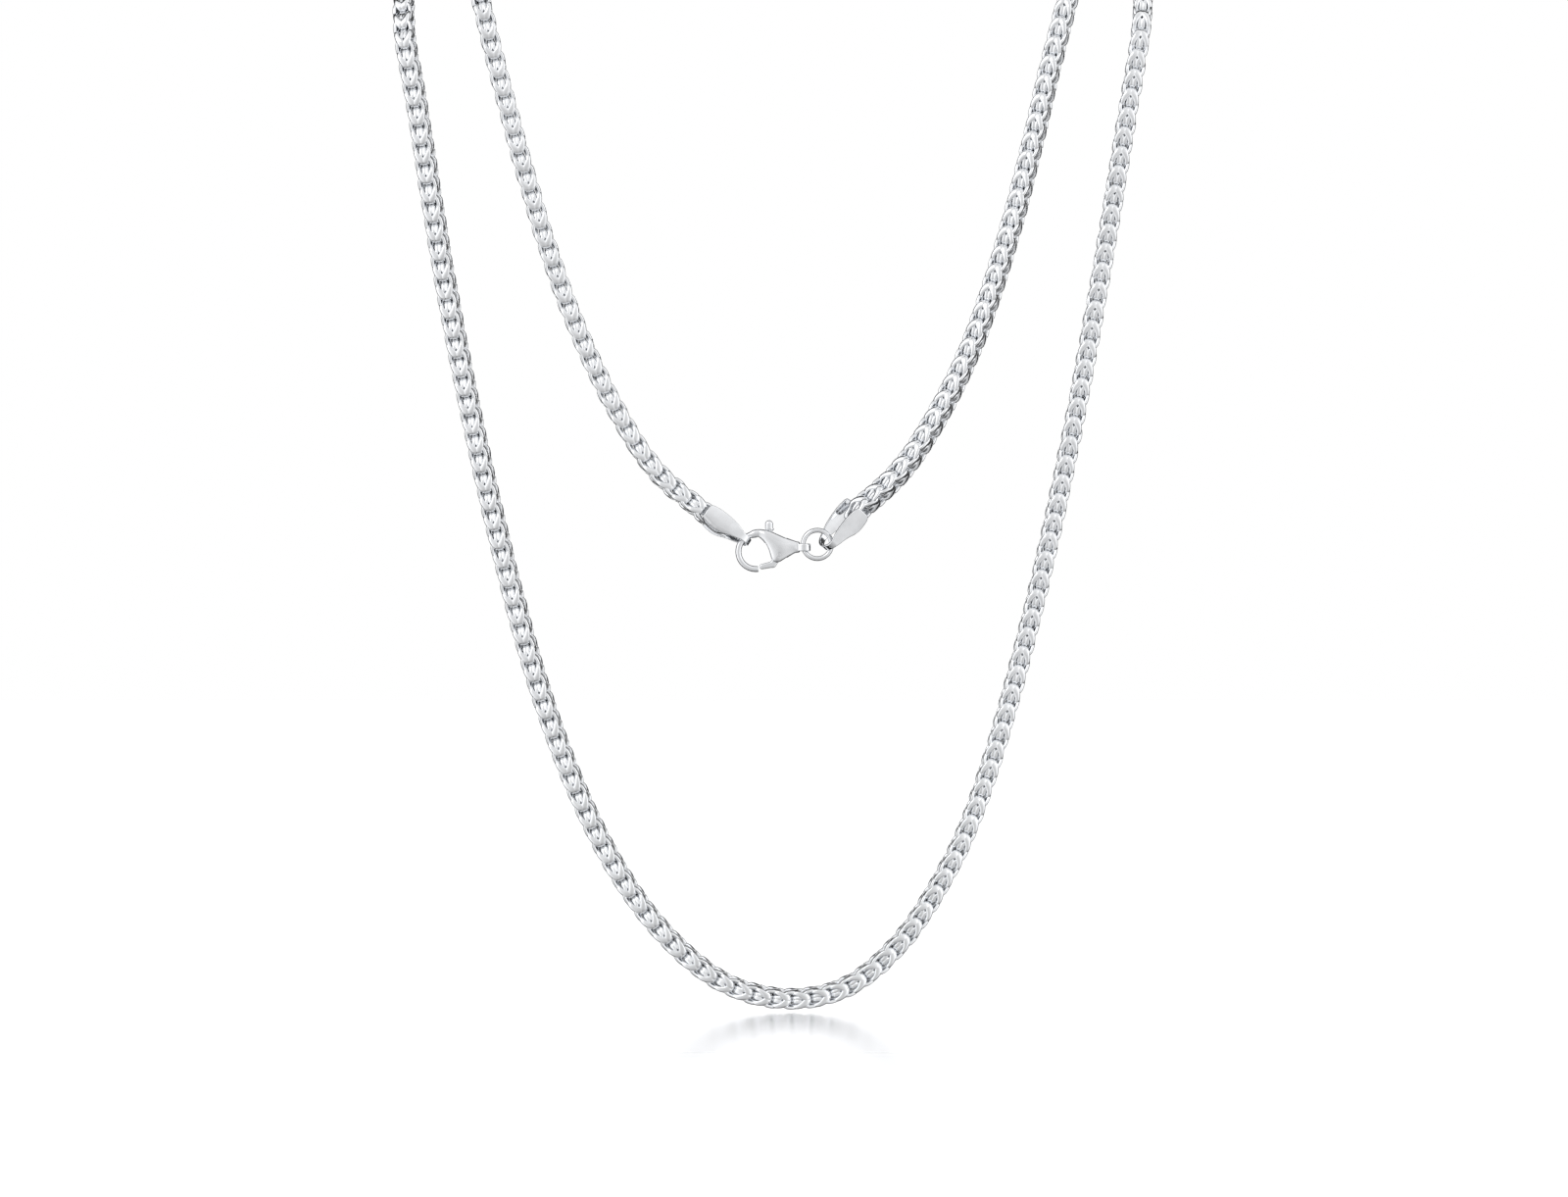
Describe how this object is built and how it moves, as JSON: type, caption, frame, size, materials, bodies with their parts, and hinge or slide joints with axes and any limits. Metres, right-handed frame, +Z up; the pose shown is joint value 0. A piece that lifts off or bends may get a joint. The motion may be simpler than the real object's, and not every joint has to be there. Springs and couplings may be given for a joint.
{
  "type": "franco chain necklace with lobster clasp",
  "caption": "Long silver franco chain hung as two loops round a neck, with folded end caps, a jump ring and a lobster clasp whose sprung lever opens.",
  "frame": {"origin": "middle of the neck opening, at the height where the chain lies round the neck", "axes": "+Z up, the front of the necklace towards -Y, +X to the viewer's right"},
  "size_m": [0.1164, 0.0675, 0.1798],
  "materials": {
    "chain_silver": "polished silver links",
    "cap_silver": "polished silver sheet",
    "ring_silver": "polished silver wire",
    "clasp_silver": "polished cast silver",
    "lever_silver": "bright polished silver"
  },
  "bodies": {
    "necklace": {"chain": "chain_silver", "end_cap_left": "cap_silver", "end_cap_right": "cap_silver", "jump_ring": "ring_silver", "clasp_body": "clasp_silver", "clasp_pin": "clasp_silver"},
    "lever": {"clasp_lever": "lever_silver"}
  },
  "joints": [
    {"name": "lever_hinge", "type": "hinge", "parent": "necklace", "child": "lever", "pos_m": [0.00075, -0.028, -0.0964], "axis": [0, 1, 0], "range_deg": [0, 25], "stiffness_Nm_per_rad": 0.002, "springref_deg": -11.46}
  ]
}
